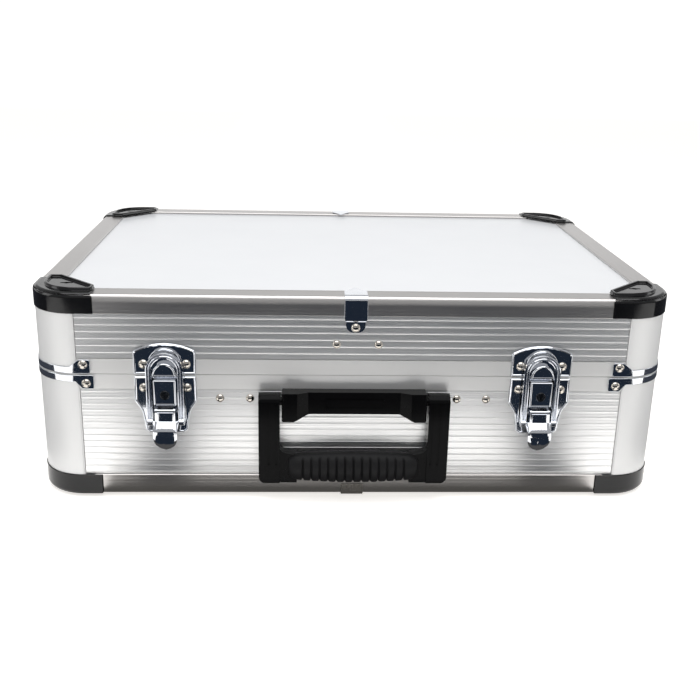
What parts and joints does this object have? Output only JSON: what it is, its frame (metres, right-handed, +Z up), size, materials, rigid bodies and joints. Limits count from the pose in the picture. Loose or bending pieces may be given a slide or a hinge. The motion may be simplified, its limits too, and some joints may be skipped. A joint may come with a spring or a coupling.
{
  "type": "aluminium tool case",
  "caption": "Hard equipment case with a hinged lid, aluminium edge profiles, moulded corner caps, two key-lockable draw latches and a drop-down carrying handle.",
  "frame": {"origin": "on the surface the case stands on, under the middle of its overall box", "axes": "+X to the right along the long side, as seen from the handle side; -Y is the side with the handle and latches; +Z up"},
  "size_m": [0.4622, 0.3528, 0.158],
  "materials": {
    "panel_sheet": "brushed, clear",
    "ribbed_sheet": "ribbed, satin",
    "post": "satin anodised",
    "edge_profile": "brushed, grey anodised",
    "rim": "satin anodised",
    "corner_cap": "gloss black",
    "chrome_fitting": "bright plated",
    "rivet": "nickel plated",
    "hinge_steel": "zinc plated",
    "handle_frame": "semi-gloss black",
    "handle_grip": "matte dark grey, grooved",
    "lining": "black short-pile felt"
  },
  "bodies": {
    "base": {"base_bracket_back_left": "chrome_fitting", "base_bracket_back_right": "chrome_fitting", "base_bracket_front_left": "chrome_fitting", "base_bracket_front_right": "chrome_fitting", "base_panel_back": "ribbed_sheet", "base_panel_front": "ribbed_sheet", "base_panel_left": "ribbed_sheet", "base_panel_right": "ribbed_sheet", "base_post_back_left": "post", "base_post_back_right": "post", "base_post_front_left": "post", "base_post_front_right": "post", "base_rim": "rim", "bottom_cap_back_left": "corner_cap", "bottom_cap_back_right": "corner_cap", "bottom_cap_front_left": "corner_cap", "bottom_cap_front_right": "corner_cap", "bottom_edge_back": "edge_profile", "bottom_edge_front": "edge_profile", "bottom_edge_left": "edge_profile", "bottom_edge_right": "edge_profile", "bottom_panel": "panel_sheet", "handle_mount": "handle_frame", "hinge_base_leaf": "hinge_steel", "latch_plate_left": "chrome_fitting", "latch_plate_right": "chrome_fitting"},
    "handle": {"handle_bail": "handle_frame", "handle_grip": "handle_grip"},
    "lid": {"hinge_lid_leaf": "hinge_steel", "latch_catch_left": "chrome_fitting", "latch_catch_right": "chrome_fitting", "lid_bracket_back_left": "chrome_fitting", "lid_bracket_back_right": "chrome_fitting", "lid_bracket_front_left": "chrome_fitting", "lid_bracket_front_right": "chrome_fitting", "lid_panel_back": "ribbed_sheet", "lid_panel_front": "ribbed_sheet", "lid_panel_left": "ribbed_sheet", "lid_panel_right": "ribbed_sheet", "lid_post_back_left": "post", "lid_post_back_right": "post", "lid_post_front_left": "post", "lid_post_front_right": "post", "lid_rim": "rim", "top_cap_back_left": "corner_cap", "top_cap_back_right": "corner_cap", "top_cap_front_left": "corner_cap", "top_cap_front_right": "corner_cap", "top_clip": "chrome_fitting", "top_edge_back": "edge_profile", "top_edge_front": "edge_profile", "top_edge_left": "edge_profile", "top_edge_right": "edge_profile", "top_panel": "panel_sheet"},
    "key_left": {"key_plug_left": "chrome_fitting"},
    "key_right": {"key_plug_right": "chrome_fitting"},
    "lever_left": {"latch_lever_left": "chrome_fitting"},
    "lever_right": {"latch_lever_right": "chrome_fitting"},
    "loop_left": {"latch_loop_left": "chrome_fitting"},
    "loop_right": {"latch_loop_right": "chrome_fitting"}
  },
  "joints": [
    {"name": "lid_hinge", "type": "hinge", "parent": "base", "child": "lid", "pos_m": [0, 0.17405, 0.0967], "axis": [-1, 0, 0], "range_deg": [0, 100]},
    {"name": "handle_swing", "type": "hinge", "parent": "base", "child": "handle", "pos_m": [0, -0.16425, 0.0795], "axis": [-1, 0, 0], "range_deg": [0, 95]},
    {"name": "lever_left", "type": "hinge", "parent": "base", "child": "lever_left", "pos_m": [-0.1349, -0.16345, 0.0712], "axis": [-1, 0, 0], "range_deg": [0, 110]},
    {"name": "loop_left", "type": "hinge", "parent": "lever_left", "child": "loop_left", "pos_m": [-0.1349, -0.16245, 0.0622], "axis": [-1, 0, 0], "range_deg": [-137.5, 0]},
    {"name": "key_left", "type": "hinge", "parent": "base", "child": "key_left", "pos_m": [-0.1349, -0.16415, 0.0832], "axis": [0, 1, 0], "range_deg": [0, 90]},
    {"name": "lever_right", "type": "hinge", "parent": "base", "child": "lever_right", "pos_m": [0.1349, -0.16345, 0.0712], "axis": [-1, 0, 0], "range_deg": [0, 110]},
    {"name": "loop_right", "type": "hinge", "parent": "lever_right", "child": "loop_right", "pos_m": [0.1349, -0.16245, 0.0622], "axis": [-1, 0, 0], "range_deg": [-137.5, 0]},
    {"name": "key_right", "type": "hinge", "parent": "base", "child": "key_right", "pos_m": [0.1349, -0.16415, 0.0832], "axis": [0, 1, 0], "range_deg": [0, 90]}
  ],
  "couplings": [
    {"joint": "loop_left", "follows": "lever_left", "ratio": -1.25},
    {"joint": "loop_right", "follows": "lever_right", "ratio": -1.25}
  ]
}
